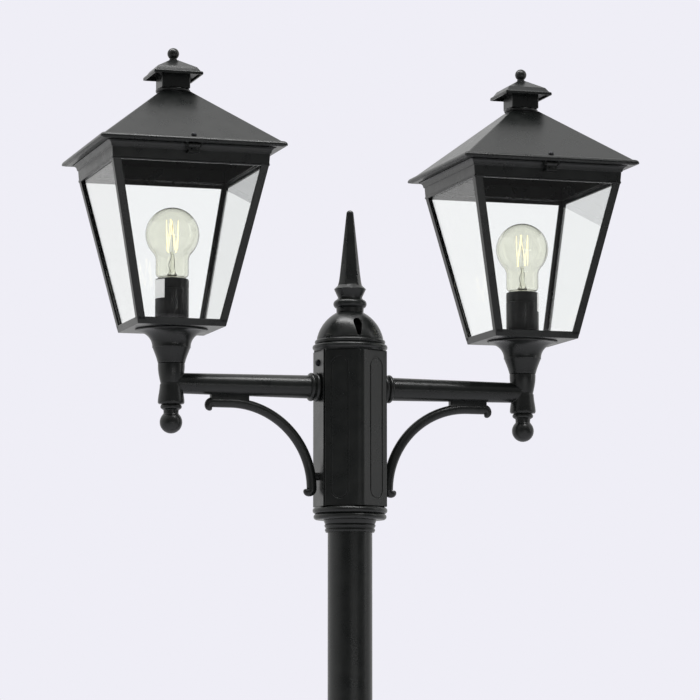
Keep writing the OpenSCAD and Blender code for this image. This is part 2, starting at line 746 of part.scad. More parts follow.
module hinge_pin() {
    color(zinc) translate([-hinge_len / 2 - 1, hinge_y, hinge_z]) rotate([0, 90, 0])
        cylinder(d = hinge_pin_d, h = hinge_len + 2);
}

// Screw-cap lampholder on a hollow nipple
module lampholder() {
    r = holder_d / 2;
    line_z = holder_h - 11;
    color(black_plastic) difference() {
        union() {
            translate([0, 0, holder_z]) rotate_extrude() polygon(
                [[0, 0], [r - 3, 0], [r - 3, 6], [r - 0.6, 7.4], [r, 8.4], [r, line_z - 1],
                 [r - 0.5, line_z - 0.6], [r - 0.5, line_z], [r, line_z + 0.4], [r, holder_h - 1.5],
                 [r - 1.5, holder_h], [0, holder_h]]);
            translate([0, 0, holder_z - 7]) cylinder(r = nipple_r, h = 8);
        }
        translate([0, 0, cap_low - 3]) cylinder(r = cap_r + 0.5, h = holder_h);
        translate([0, 0, holder_z - 8]) cylinder(r = 3.5, h = holder_h);
    }
}

// Hood: pyramid roof on a rounded eave lip, with hinge knuckles behind and catch ears in front
module hood() {
    e = eave_w / 2;
    crown_top_half = body_half(crown_z) + 7.1;
    inner0 = crown_top_half - 6;
    foot = roof_foot_half;
    throat_z = roof_top - 4;
    wall = roof_wall * 1.6;
    color(paint) difference() {
        union() {
            frustum(e - 1.2, hood_z, e, hood_z + 1.4);
            frustum(e, hood_z + 1.4, e, lip_top - 1.8);
            frustum(e, lip_top - 1.8, e - 1.4, lip_top);
            frustum(foot, eave_z, chimney_half, roof_top);
            for (m = [0, 1]) mirror([m, 0, 0]) {
                translate([knuckle_len + loose_gap, hinge_y, hinge_z]) rotate([0, 90, 0])
                    cylinder(r = hinge_r, h = knuckle_len);
                translate([knuckle_len + loose_gap, hinge_y - hinge_r, hinge_z])
                    cube([knuckle_len, 2 * hinge_r, hood_z - hinge_z + 0.5]);
                translate([catch_w / 2 + loose_gap, catch_y - catch_r, catch_z - catch_r])
                    cube([2.2, 2 * catch_r, hood_z - catch_z + catch_r + 0.5]);
            }
        }
        frustum(inner0, hood_z - 1, inner0, eave_z + 0.1);
        frustum(foot - wall, eave_z - 0.1, roof_half(throat_z) - wall, throat_z);
        translate([0, 0, throat_z - 1]) cylinder(r = throat_half, h = 8);
        translate([-hinge_len, hinge_y, hinge_z]) rotate([0, 90, 0])
            cylinder(r = hinge_pin_d / 2 + running_gap, h = 2 * hinge_len);
        translate([-catch_w, catch_y, catch_z]) rotate([0, 90, 0])
            cylinder(r = catch_pin_r + running_gap, h = 2 * catch_w);
    }
}

// Square chimney on a round collar, bridged for the cap's stud
module chimney() {
    inner = chimney_half - 2.2;
    bridge_z = roof_top + 7;
    color(paint) difference() {
        union() {
            translate([0, 0, roof_top - 6]) cylinder(r = collar_r, h = collar_top - roof_top + 6);
            frustum(chimney_half, collar_top, chimney_half, cap_z + 5);
        }
        frustum(roof_foot_half, eave_z, chimney_half, roof_top);
        difference() {
            translate([0, 0, roof_top - 8]) union() {
                cylinder(r = throat_half, h = 13);
                frustum(inner, 12.5, inner, 40);
            }
            translate([-chimney_half, -4, bridge_z]) cube([chimney_w, 8, 3]);
        }
        translate([0, 0, bridge_z - 1]) cylinder(r = cap_stud_r + running_gap, h = 6);
    }
}

// Hipped cap over the chimney, open underneath
module chimney_cap() {
    rim = cap_w / 2;
    color(paint) difference() {
        union() {
            frustum(rim, cap_z - 2.4, rim - 0.3, cap_z + 1.4);
            frustum(rim - 0.3, cap_z + 1.4, rim - 7, cap_z + 7);
            frustum(rim - 7, cap_z + 7, 4.6, cap_top);
        }
        frustum(rim - 1.8, cap_z - 3, rim - 2.1, cap_z + 0.8);
        frustum(rim - 2.1, cap_z + 0.7, chimney_half + 0.6, cap_z + 5);
        translate([0, 0, cap_z + 4]) cylinder(r = cap_stud_r + running_gap, h = 20);
    }
}

// Ball on a long stud that draws the cap down on the chimney
module ball_finial() {
    color(paint) {
        rotate_extrude() polygon(concat(
            [[0, cap_top + 0.02], [4.5, cap_top + 0.02], [4.45, cap_top + 1.4]],
            arc(0, ball_z, ball_d / 2, -48, 90, 20)));
        translate([0, 0, roof_top + 5]) cylinder(r = cap_stud_r, h = cap_top - roof_top - 4);
    }
}

// Screw with a domed head, set in the foot of the roof above the catch
module hood_screw() {
    z = lip_top + 2.3;
    slope = atan2(roof_h, roof_foot_half - chimney_half);
    color(zinc) translate([0, -roof_half(z), z]) rotate([slope, 0, 0]) translate([0, 0, 0.05])
        rotate_extrude() polygon(concat([[0, 0], [3.2, 0]], arc(0, 0, 3.2, 8, 90, 6)));
}

// Hasp that hangs from the lip and lies on the crown
module catch() {
    foot_y = -(body_half(crown_z) + 1.9 + loose_gap);
    low = catch_z - catch_h + 1;
    color(zinc) {
        difference() {
            union() {
                translate([-catch_w / 2, catch_y, catch_z]) rotate([0, 90, 0])
                    cylinder(r = catch_r, h = catch_w);
                translate([-catch_w / 2, catch_y - 0.9, low]) cube([catch_w, 1.8, catch_h - 1]);
                translate([-catch_w / 2, catch_y - 0.9, low])
                    cube([catch_w, foot_y - catch_y + 0.9, 1.8]);
            }
            for (s = [-1, 1]) translate([s * catch_w / 4 - 1, catch_y - 2, low + 2.6]) cube([2, 4, 2.6]);
        }
        translate([-catch_w / 2 - 2.2, catch_y, catch_z]) rotate([0, 90, 0])
            cylinder(r = catch_pin_r, h = catch_w + 4.4);
    }
}

// Outline of the bulb's glass from its cap to its crown, inset by t
function bulb_outline(t) =
    let (r = bulb_d / 2, neck = bulb_neck_d / 2, blend_x = neck + bulb_blend_r,
         drop = sqrt(pow(r + bulb_blend_r, 2) - pow(blend_x, 2)), a = atan(drop / blend_x))
    concat([[cap_r - 0.6 - t, cap_low + cap_glass_z], [cap_r - 0.6 - t, holder_top + 1]],
           arc(neck - shoulder_r, holder_top + shoulder_r + 1, shoulder_r - t, -80, 0, 6),
           arc(blend_x, bulb_z - drop, bulb_blend_r + t, 180, 180 - a, 8),
           arc(0, bulb_z, r - t, -a, 90, 20));

// Pear-shaped clear bulb, open where its cap closes it
module bulb_glass() {
    outer = bulb_outline(0);
    inner = bulb_outline(bulb_wall);
    last = len(inner) - 1;
    color(clear_glass) rotate_extrude() polygon(concat(outer, [for (i = [last:-1:0]) inner[i]]));
}

// Screw cap with its contact
module bulb_cap() {
    thread_half = 1.8;
    thread_depth = 0.9;
    color(zinc) translate([0, 0, cap_low]) rotate_extrude() polygon(concat(
        [[0, 0], [4.8, 0], [5, 1.6], [9.5, 4.4]],
        [for (i = [0:8]) [cap_r - (i % 2) * thread_depth, 5 + i * thread_half]],
        [[cap_r, cap_glass_z - 0.1], [0, cap_glass_z - 0.1]]));
}

// Glass stem with the lead wires and the filament's loops
module bulb_filament() {
    stem_z = cap_low + cap_glass_z;
    wire = 0.8;
    loop_z = stem_z + 31;
    loop_h = 30;
    loop_half = 9;
    color([0.9, 0.75, 0.45]) {
        translate([0, 0, stem_z]) cylinder(r1 = 6, r2 = 2.4, h = 26);
        translate([0, 0, stem_z + 25]) cylinder(r = 1.6, h = 8);
        translate([-loop_half, -wire / 2, loop_z]) cube([2 * loop_half, wire, wire]);
        translate([2 - loop_half, -wire / 2, loop_z + loop_h]) cube([2 * loop_half - 4, wire, wire]);
        for (x = [-loop_half, -loop_half / 3, loop_half / 3, loop_half - wire])
            translate([x, -wire / 2, loop_z]) cube([wire, wire, loop_h]);
        translate([0, 0, loop_z - 1]) cylinder(r = 0.6, h = loop_h + 1);
    }
}

base_casting();
base_screws();
pole();
pole_collar();
head_collar();
head_frame();
front_cover();
rear_cover();
terminal_block();
dome_cap();
side_screws();
finial_spire();
left_arm();
right_arm();
arm_rosettes();
arm_locknuts();
left_brace();
right_brace();
drop_finials();
for (i = [0, 1]) at_side(2 * i - 1) {
    socket();
    grub_screws();
    bottom_frame();
    corner_posts();
    crown_frame();
    pane();
    rotate([0, 0, 90]) pane();
    rotate([0, 0, 180]) pane();
    rotate([0, 0, -90]) pane();
    hinge_pin();
    lampholder();
    hood();
    chimney();
    chimney_cap();
    ball_finial();
    hood_screw();
    catch();
    bulb_glass();
    bulb_cap();
    bulb_filament();
}
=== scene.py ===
import math

import bmesh
import bpy
import numpy as np
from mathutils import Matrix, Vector


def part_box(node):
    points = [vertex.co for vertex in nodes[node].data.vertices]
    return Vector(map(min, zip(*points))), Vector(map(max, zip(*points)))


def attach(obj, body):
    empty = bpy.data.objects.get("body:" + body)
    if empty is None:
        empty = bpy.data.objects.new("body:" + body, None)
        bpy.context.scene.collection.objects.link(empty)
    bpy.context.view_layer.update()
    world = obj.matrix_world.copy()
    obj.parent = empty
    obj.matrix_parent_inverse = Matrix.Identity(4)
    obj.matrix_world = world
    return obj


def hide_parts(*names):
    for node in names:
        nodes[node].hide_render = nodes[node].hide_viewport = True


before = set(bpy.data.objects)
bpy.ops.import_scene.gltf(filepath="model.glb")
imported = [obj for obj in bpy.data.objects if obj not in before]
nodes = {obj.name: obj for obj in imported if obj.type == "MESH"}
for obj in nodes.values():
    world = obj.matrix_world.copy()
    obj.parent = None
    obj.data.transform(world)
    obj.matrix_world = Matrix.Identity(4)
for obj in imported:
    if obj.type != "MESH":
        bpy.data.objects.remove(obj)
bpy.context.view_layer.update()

mm = 0.001

# ---- Camera ----
# The lamp is seen from the left of its front with a long lens. The camera stands below the
# arms, aims at the post's axis and is tilted up a little.
view_side = math.radians(17.11)
view_distance = 3.4528
view_height = 1.4962
view_tilt = math.radians(6.1)

lens = bpy.data.cameras.new("camera")
lens.lens = 158.35
camera = bpy.data.objects.new("camera", lens)
bpy.context.scene.collection.objects.link(camera)
camera.location = (-view_distance * math.sin(view_side), -view_distance * math.cos(view_side), view_height)
camera.rotation_euler = (math.pi / 2 + view_tilt, 0, -view_side)
bpy.context.scene.camera = camera
bpy.context.scene.view_settings.view_transform = "Standard"


# ---- Studio ----
# A plain pale floor under a soft sky that is bright behind and beside the lamp and dim in
# front, which gives the dark coat its light edges. An overhead soft box and a low strip in
# front draw the two long streaks on the arms, and a weak box lights the right side.
backdrop_colour = (0.863, 0.855, 0.922, 1)
through_glass_colour = (1.05, 1.05, 1.07, 1)
floor_colour = (0.78, 0.775, 0.81, 1)
floor_half = 6.0


def shader_node(tree, kind, inputs=None, **settings):
    """Adds one shader node. Settings are its own options; inputs are values, or sockets that
    are joined to it."""
    made = tree.nodes.new("ShaderNode" + kind)
    for key, value in settings.items():
        setattr(made, key, value)
    for key, value in (inputs or {}).items():
        if isinstance(value, bpy.types.NodeSocket):
            tree.links.new(value, made.inputs[key])
        else:
            made.inputs[key].default_value = value
    return made


def ramp(tree, factor, *stops):
    """A colour ramp over a factor, with a stop for each (place, grey) or (place, (r, g, b)) given."""
    made = shader_node(tree, "ValToRGB", {"Fac": factor})
    band = made.color_ramp
    while len(band.elements) < len(stops):
        band.elements.new(0.5)
    for element, (place, colour) in zip(band.elements, stops):
        element.position = place
        element.color = (*(colour if isinstance(colour, tuple) else (colour,) * 3), 1)
    return made.outputs["Color"]


def light_sky():
    """Light by direction: a ramp from front to back plus a ramp with height. The backdrop that
    shows is one pale colour. What is seen straight through glass is a little brighter, but
    light that a surface behind the glass gathers is not."""
    world = bpy.data.worlds.new("studio")
    world.use_nodes = True
    tree = world.node_tree
    tree.nodes.clear()
    way = shader_node(tree, "TexCoord").outputs["Generated"]
    split = shader_node(tree, "SeparateXYZ", {"Vector": way})
    depth = shader_node(tree, "MapRange", {"Value": split.outputs["Y"], "From Min": -1.0, "From Max": 1.0})
    rise = shader_node(tree, "MapRange", {"Value": split.outputs["Z"], "From Min": -1.0, "From Max": 1.0})
    wall = ramp(tree, depth.outputs["Result"], (0.0, 0.10), (0.2, 0.15), (0.42, 0.50), (0.75, 0.75))
    top = ramp(tree, rise.outputs["Result"], (0.6, 0.0), (1.0, 0.28))
    glow = shader_node(tree, "MixRGB", {"Fac": 1.0, "Color1": wall, "Color2": top}, blend_type="ADD")
    path = shader_node(tree, "LightPath")
    bounces = shader_node(tree, "Math", {0: path.outputs["Diffuse Depth"], 1: path.outputs["Glossy Depth"]})
    straight = shader_node(tree, "Math", {0: 1.0, 1: bounces.outputs["Value"]},
                           operation="SUBTRACT", use_clamp=True)
    clear = shader_node(tree, "Math", {0: path.outputs["Is Transmission Ray"], 1: straight.outputs["Value"]},
                        operation="MULTIPLY")
    through = shader_node(tree, "MixRGB", {"Fac": clear.outputs["Value"], "Color1": glow.outputs["Color"],
                                           "Color2": through_glass_colour})
    shown = shader_node(tree, "MixRGB", {"Fac": path.outputs["Is Camera Ray"],
                                         "Color1": through.outputs["Color"], "Color2": backdrop_colour})
    sky = shader_node(tree, "Background", {"Color": shown.outputs["Color"]})
    shader_node(tree, "OutputWorld", {"Surface": sky.outputs["Background"]})
    bpy.context.scene.world = world


def soft_box(name, place, aim, width, height, watts):
    """A rectangular light at a place, turned to face a point."""
    data = bpy.data.lights.new(name, "AREA")
    data.shape, data.size, data.size_y, data.energy = "RECTANGLE", width, height, watts
    lamp = bpy.data.objects.new(name, data)
    bpy.context.scene.collection.objects.link(lamp)
    lamp.location = place
    lamp.rotation_euler = (Vector(aim) - Vector(place)).to_track_quat("-Z", "Y").to_euler()
    lamp.visible_camera = False


light_sky()
arm_z = sum(corner.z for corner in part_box("arm_rosettes")) / 2
middle = (0, 0, arm_z)
soft_box("overhead_box", (-0.2, -0.2, arm_z + 2.0), middle, 3.0, 0.3, 42)
soft_box("low_strip", (0.5, -6.0, arm_z - 0.8), middle, 4.0, 0.22, 15)
soft_box("side_box", (2.6, -0.9, arm_z + 0.9), middle, 0.5, 2.4, 4)

floor_mesh = bpy.data.meshes.new("floor")
floor_corners = np.array([(-1, -1, 0), (1, -1, 0), (1, 1, 0), (-1, 1, 0)]) * floor_half
floor_mesh.from_pydata(floor_corners.tolist(), [], [(0, 1, 2, 3)])
floor = bpy.data.objects.new("floor", floor_mesh)
bpy.context.scene.collection.objects.link(floor)


def material(name):
    """An empty material and the node tree to build it in."""
    made = bpy.data.materials.new(name)
    made.use_nodes = True
    made.node_tree.nodes.clear()
    return made, made.node_tree


def output(tree, shader):
    """Joins a shader to the material's surface."""
    shader_node(tree, "OutputMaterial", {"Surface": shader.outputs["BSDF"]})


floor_paint, floor_tree = material("floor_paint")
output(floor_tree, shader_node(floor_tree, "BsdfPrincipled", {"Base Color": floor_colour, "Roughness": 0.7}))
floor_mesh.materials.append(floor_paint)


# ---- Foot and pole ----
# The cast foot is bolted down and holds a steel tube with three bright zinc set screws. The
# whole lamp is sprayed with the same satin black powder coat.
coat_dark = (0.0062, 0.0076, 0.0072)
coat_light = (0.0125, 0.0140, 0.0130)
# Lighter grey of the painted highlight along the coat's edges.
coat_edge_highlight = (0.050, 0.054, 0.052, 1)
peel_per_metre = 900.0
zinc_colour = (0.50, 0.51, 0.53)


def noise(tree, scale, detail=3.0, vector=None):
    """Noise over the piece's own coordinates in metres."""
    place = vector or shader_node(tree, "TexCoord").outputs["Object"]
    return shader_node(tree, "TexNoise", {"Vector": place, "Scale": scale, "Detail": detail}).outputs["Fac"]


def powder_coat():
    """Powder coat: orange peel bump of about a millimetre, slow mottling in tone and gloss, and a
    painted highlight that lightens the edges a little, found where the rounded normal leaves the true one."""
    made, tree = material("coat_black")
    mottle = noise(tree, 60.0, 4.0)
    drift = noise(tree, 9.0, 2.0)
    rounded = shader_node(tree, "Bevel", {"Radius": 0.8 * mm}, samples=4).outputs["Normal"]
    true = shader_node(tree, "NewGeometry").outputs["Normal"]
    same = shader_node(tree, "VectorMath", {0: rounded, 1: true}, operation="DOT_PRODUCT").outputs["Value"]
    # Painted highlight: the edge mask mixes the coat towards a lighter grey along edges, varied by a slow
    # noise.
    edge = ramp(tree, same, (0.80, 0.8), (0.985, 0.0))
    base = ramp(tree, mottle, (0.3, coat_dark), (0.7, coat_light))
    painted_highlight_mix = shader_node(tree, "Math", {0: edge, 1: drift}, operation="MULTIPLY").outputs["Value"]
    tone = shader_node(tree, "MixRGB", {"Fac": painted_highlight_mix, "Color1": base, "Color2": coat_edge_highlight}).outputs["Color"]
    gloss = ramp(tree, mottle, (0.25, 0.25), (0.75, 0.33))
    bump = shader_node(tree, "Bump", {"Height": noise(tree, peel_per_metre), "Strength": 0.12,
                                      "Distance": 0.4 * mm, "Normal": rounded}).outputs["Normal"]
    output(tree, shader_node(tree, "BsdfPrincipled", {"Base Color": tone, "Roughness": gloss,
                                                      "Normal": bump}))
    return made


def plated(name, colour, rough):
    """Plated metal: fine directionless scratches in its gloss and a faint stain in its colour."""
    made, tree = material(name)
    stain = noise(tree, 220.0)
    tone = ramp(tree, stain, (0.3, tuple(c * 0.75 for c in colour)), (0.7, colour))
    gloss = ramp(tree, noise(tree, 1400.0, 2.0), (0.3, rough), (0.7, rough + 0.18))
    bump = shader_node(tree, "Bump", {"Height": noise(tree, 1800.0), "Strength": 0.15, "Distance": 0.2 * mm})
    output(tree, shader_node(tree, "BsdfPrincipled", {"Base Color": tone, "Metallic": 1.0, "Roughness": gloss,
                                                      "Normal": bump.outputs["Normal"]}))
    return made


def finish(material_used, *names):
    """Gives CAD nodes a material in place of their plain colour."""
    for name in names:
        nodes[name].data.materials.clear()
        nodes[name].data.materials.append(material_used)


coat = powder_coat()
zinc = plated("screw_zinc", zinc_colour, 0.28)
finish(coat, "base_casting", "pole")
finish(zinc, "base_screws")


# ---- Collars ----
# A stepped slip ring closes the gap round the pole, and a double-beaded casting above it
# carries the head. Both are turned castings held by set screws.
pole_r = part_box("pole")[1].x / mm
ring_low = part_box("pole_collar")[0].z / mm
collar_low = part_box("head_collar")[0].z / mm
head_low, head_top = (corner.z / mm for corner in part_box("head_frame"))
head_r = 43.0
bead_r = head_r - 1.2
sharp_angle = math.radians(38)


def arc(cx, cz, r, start, end, steps=12):
    """Points on a circle of radius r about (cx, cz), from one angle to another in degrees."""
    turn = np.radians(np.linspace(start, end, steps))
    return np.stack([cx + r * np.cos(turn), cz + r * np.sin(turn)], -1)


def outline(*runs):
    """One run of points from several points and arcs, in order."""
    return np.concatenate([np.asarray(run, float).reshape(-1, 2) for run in runs])


def eased(points, reach, steps=4):
    """A closed outline with its corners rounded: each corner becomes a parabola between two
    points that lie at most a reach, and under half an edge, away from it."""
    points = np.asarray(points, float)
    back, ahead = np.roll(points, 1, 0) - points, np.roll(points, -1, 0) - points
    back_len, ahead_len = (np.linalg.norm(side, axis=1, keepdims=True) for side in (back, ahead))
    first = points + back / back_len * np.minimum(reach, back_len * 0.45)
    last = points + ahead / ahead_len * np.minimum(reach, ahead_len * 0.45)
    s = np.linspace(0, 1, steps)[None, :, None]
    curve = (1 - s) ** 2 * first[:, None] + 2 * s * (1 - s) * points[:, None] + s**2 * last[:, None]
    return curve.reshape(-1, 2)


def turned(points, steps=96):
    """Rows of circles: each outline point (radius, height) is carried round the vertical axis."""
    radius, height = np.asarray(points, float).T[:, :, None]
    turn = np.linspace(0, 2 * math.pi, steps, endpoint=False)
    return np.stack([radius * np.cos(turn), radius * np.sin(turn), height + 0 * turn], -1)


def shaped(work, mesh):
    """Writes a worked shape into its mesh: faces outwards, and smooth but for its sharp edges."""
    bmesh.ops.recalc_face_normals(work, faces=work.faces)
    work.to_mesh(mesh)
    work.free()
    mesh.shade_smooth()
    mesh.set_sharp_from_angle(angle=sharp_angle)
    return mesh


def mesh_of(name, *shells):
    """One mesh, in metres, from grids of points in millimetres. Each row closes on itself, and a
    shell given as (points, True) also joins its last row to its first. Doubled points are
    merged, which closes seams and poles."""
    points, quads, start = [], [], 0
    for shell in shells:
        grid, looped = shell if isinstance(shell, tuple) else (shell, False)
        index = start + np.arange(grid.shape[0] * grid.shape[1]).reshape(grid.shape[:2])
        index = np.vstack([index, index[:1]]) if looped else index
        index = np.hstack([index, index[:, :1]])
        corners = index[:-1, :-1], index[:-1, 1:], index[1:, 1:], index[1:, :-1]
        quads.append(np.stack(corners, -1).reshape(-1, 4))
        points.append(grid.reshape(-1, 3))
        start += len(points[-1])
    mesh = bpy.data.meshes.new(name)
    mesh.from_pydata((np.concatenate(points) * mm).tolist(), [], np.concatenate(quads).tolist())
    work = bmesh.new()
    work.from_mesh(mesh)
    bmesh.ops.remove_doubles(work, verts=work.verts, dist=1e-7)
    return shaped(work, mesh)


def piece(mesh, look, body, slot, *stands_for):
    """An object for a mesh, with its material, the body it rides on and the CAD nodes it stands for.
    The slot is given but not used."""
    made = bpy.data.objects.new(mesh.name, mesh)
    bpy.context.scene.collection.objects.link(made)
    mesh.materials.append(look)
    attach(made, body)
    if stands_for:
        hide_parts(*stands_for)
    return made


slip_ring = outline(
    (pole_r, ring_low), (pole_r + 2.4, ring_low), arc(pole_r + 1.2, ring_low + 2.5, 2, -60, 60),
    (pole_r + 2.7, ring_low + 5.5), arc(pole_r + 1.7, ring_low + 7.5, 2, -60, 60),
    (pole_r + 3.3, ring_low + 10), (pole_r + 4.9, collar_low), (pole_r, collar_low))
piece(mesh_of("slip_ring", (turned(slip_ring), True)), coat, "post", "coat_black", "pole_collar")

double_bead = outline(
    (pole_r, collar_low), (bead_r - 4, collar_low), arc(bead_r - 4.2, collar_low + 3.4, 3.4, -90, 84),
    arc(bead_r - 3.4, collar_low + 10.4, 3.6, -84, 80), (bead_r - 4, head_low), (pole_r, head_low))
piece(mesh_of("double_bead", (turned(double_bead), True)), coat, "post", "coat_black", "head_collar")


# ---- Head ----
# Two side plates on a frame carry the arms. A front and a rear cover, each with a rounded nose
# and an engraved line, slide over the frame and hide the terminal block.
porcelain_colour = (0.62, 0.59, 0.52)
blackened_colour = (0.055, 0.056, 0.060)


def moulded(name, dark, light, rough, lift=0.0):
    """Moulded plastic or ceramic: a fine even grain, small changes of tone and a soft gloss. A
    lift stands for light that passes through thin white stock."""
    made, tree = material(name)
    tone = ramp(tree, noise(tree, 160.0), (0.3, dark), (0.7, light))
    gloss = ramp(tree, noise(tree, 90.0), (0.3, rough), (0.7, rough + 0.12))
    bump = shader_node(tree, "Bump", {"Height": noise(tree, 1500.0), "Strength": 0.12, "Distance": 0.2 * mm})
    output(tree, shader_node(tree, "BsdfPrincipled", {"Base Color": tone, "Roughness": gloss,
                                                      "Emission Color": tone, "Emission Strength": lift,
                                                      "Normal": bump.outputs["Normal"]}))
    return made


dark_steel = plated("screw_dark", blackened_colour, 0.30)
finish(coat, "head_frame", "front_cover", "rear_cover")
finish(dark_steel, "side_screws")
finish(zinc, "arm_locknuts")
porcelain = moulded("terminal_cream", tuple(c * 0.85 for c in porcelain_colour), porcelain_colour, 0.4)
finish(porcelain, "terminal_block")


# ---- Dome ----
# A cast dome closes the head. It stands on a beaded flange and has a drop-shaped slot in front
# and behind. Two side screws hold it to the side plates.
dome_base = head_top + 15
dome_centre = dome_base - 9
dome_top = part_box("dome_cap")[1].z / mm
dome_r = 37.4
dome_curve, dome_wall = 43.3, 3.0
dome_shift = dome_r - math.sqrt(dome_curve**2 - 9**2)
slot_round, slot_foot, slot_h = 5.0, 2.4, 20.2
slot_low = dome_base + 0.5
slot_mid = slot_low + slot_h - slot_round


def curve_at(height, curve):
    """Radius and height of points on the dome's curve, at given heights."""
    return np.stack([dome_shift + np.sqrt(curve**2 - (height - dome_centre) ** 2), height], -1)


def slot_half(height):
    """Half the slot's width at heights within it: it grows evenly up to the round top, then
    follows the circle."""
    wedge = slot_foot + (slot_round - slot_foot) * (height - slot_low) / (slot_mid - slot_low)
    cap = np.sqrt(np.clip(slot_round**2 - (height - slot_mid) ** 2, 0, None))
    return np.where(height <= slot_mid, wedge, cap)


def dome():
    """The dome's outline carried round the axis. Beside the slots each row starts at the slot's
    edge and is spread from there by a cosine, so that the columns follow the slot. The second
    and the fourth part of the outline pass the slots."""
    rise = slot_low + slot_h * np.sin(np.linspace(0, math.pi / 2, 40))
    above = np.linspace(slot_low + slot_h, dome_top, 20)[1:]
    inner_above = np.linspace(slot_low + slot_h, dome_top - 5.5, 12)[1:]
    inner = dome_curve - dome_wall
    parts = (
        outline((dome_r - 4, head_top), (head_r - 2.2, head_top),
                arc(head_r - 3.9, head_top + 4.6, 3.2, -60, 80),
                arc(dome_r - 0.2, head_top + 10.6, 2.6, -70, 88),
                (dome_r, dome_base), curve_at(slot_low, dome_curve)),
        curve_at(rise, dome_curve),
        outline(curve_at(above, dome_curve), (4.1, dome_top), (4.1, dome_top - 3),
                curve_at(inner_above[::-1], inner)),
        curve_at(rise[::-1], inner),
        outline(curve_at(slot_low, inner), (dome_r - 4, dome_base - 2)))
    radius, height = np.concatenate(parts).T[:, :, None]
    half = np.concatenate([slot_half(part[:, 1]) * (k % 2) for k, part in enumerate(parts)])[:, None]
    edge = np.arcsin(half / radius)
    spread = (1 - np.cos(np.linspace(0, math.pi, 61))) / 2
    turn = edge + (math.pi - 2 * edge) * spread
    turn = np.concatenate([turn, turn + math.pi], -1) - math.pi / 2
    return np.stack([radius * np.cos(turn), radius * np.sin(turn), height + 0 * turn], -1)


def open_slots(mesh):
    """Takes out the faces that span the two slots and joins the outer rim of each slot to its inner rim."""
    work = bmesh.new()
    work.from_mesh(mesh)
    low, high = (slot_low - 0.01) * mm, (slot_low + slot_h + 0.01) * mm
    spans = [face for face in work.faces if abs(face.calc_center_median().x) < 0.01 * mm
             and all(low < corner.co.z < high for corner in face.verts)]
    bmesh.ops.delete(work, geom=spans, context="FACES")
    for way in (-1, 1):
        rims = [edge for edge in work.edges if edge.is_boundary and edge.verts[0].co.y * way > 0]
        bmesh.ops.bridge_loops(work, edges=rims)
    return shaped(work, mesh)


piece(open_slots(mesh_of("dome", (dome(), True))), coat, "post", "coat_black", "dome_cap")


# ---- Spire ----
# A six-sided cast spire on a turned collar, screwed down into the dome.
spire_base, spire_tip, spire_h = 13.4, 4.2, 82.5
spire_foot = dome_top + 31
spire_turn = math.radians(23 - 90)
spire_flare = 1.0
tip_h = 3.4


def six_sided(radius):
    """A hexagon with eased corners, of one corner radius."""
    turn = np.arange(6) * math.pi / 3 + spire_turn
    return eased(np.stack([np.cos(turn), np.sin(turn)], -1) * radius, 0.13 * radius, 5)


def spire():
    """Hexagons stacked up the axis: they shrink evenly from a small flared foot to the tip, then
    close over it in a quarter round."""
    rise = np.linspace(0, 1, 24)
    cap = np.radians(np.linspace(0, 90, 10))
    radius = np.concatenate([spire_base + (spire_tip - spire_base) * rise + spire_flare * np.exp(-rise * 26),
                             spire_tip * np.cos(cap)[1:]])
    height = np.concatenate([spire_foot + spire_h * rise, spire_foot + spire_h + tip_h * np.sin(cap)[1:]])
    flat = np.stack([six_sided(1.0)] * len(radius)) * radius[:, None, None]
    rows = np.concatenate([flat, np.broadcast_to(height[:, None, None], (*flat.shape[:2], 1))], -1)
    foot = rows[:1] * (0, 0, 1)
    return np.concatenate([foot, rows])


spire_collar = outline(
    (0, dome_top), (15.2, dome_top), arc(13.8, dome_top + 9.8, 5, -70, 70), (13.7, dome_top + 16.4),
    (13.7, dome_top + 17.6), arc(17.0, dome_top + 26.6, 0.9, -40, 70, 6), (13.4, dome_top + 31.2),
    (0, dome_top + 31.2))
piece(mesh_of("spire", turned(spire_collar), spire()), coat, "post", "coat_black", "finial_spire")


# ---- Arms ----
# Each arm is a tapered tube cast with an upright elbow. A spigot on the elbow carries the
# lantern, and a beaded rosette covers the joint with the head.
reach = sum(corner.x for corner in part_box("right_chimney_cap")) / 2 / mm
arm_mm = arm_z / mm
seat_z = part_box("right_socket")[0].z / mm
plate_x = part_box("head_frame")[1].x / mm
arm_root, arm_end = 13.2, 11.3
elbow_top, elbow_waist, elbow_foot = 14.9, 12.2, 14.8
elbow_low = arm_mm - 23.2


def step_up(value):
    """A smooth step from 0 at 0 to 1 at 1."""
    value = np.clip(value, 0, 1)
    return value * value * (3 - 2 * value)


def laid(grid):
    """The same grid with its upright axis laid along X."""
    return grid[..., [2, 1, 0]]


def moved(grid, x=0, y=0, z=0):
    """The same grid, moved."""
    return grid + (x, y, z)


def flipped(grid, side):
    """The same grid, mirrored for the left side."""
    return grid * (side, 1, 1)


def elbow():
    """Barrel foot, a fine seam at the arm's height and a throat that opens to the lantern's seat."""
    up = np.linspace(0, 1, 12)
    foot = np.stack([elbow_foot + (elbow_waist + 0.5 - elbow_foot) * step_up(up),
                     elbow_low + 1.4 + (21.0 - 1.4) * up], -1)
    throat = np.stack([elbow_waist + (elbow_top - elbow_waist) * np.sin(up * math.pi / 2),
                       arm_mm + 0.8 + (seat_z - 3.2 - arm_mm) * up], -1)
    return outline((0, elbow_low), (elbow_foot - 0.9, elbow_low), foot,
                   (elbow_waist - 0.3, arm_mm - 0.6), (elbow_waist - 0.3, arm_mm), throat,
                   (elbow_top, seat_z - 0.7), (elbow_top - 0.6, seat_z - 0.2), (10, seat_z - 0.2),
                   (10, seat_z + 20), (6, seat_z + 21.5), (6, seat_z), (0, seat_z))


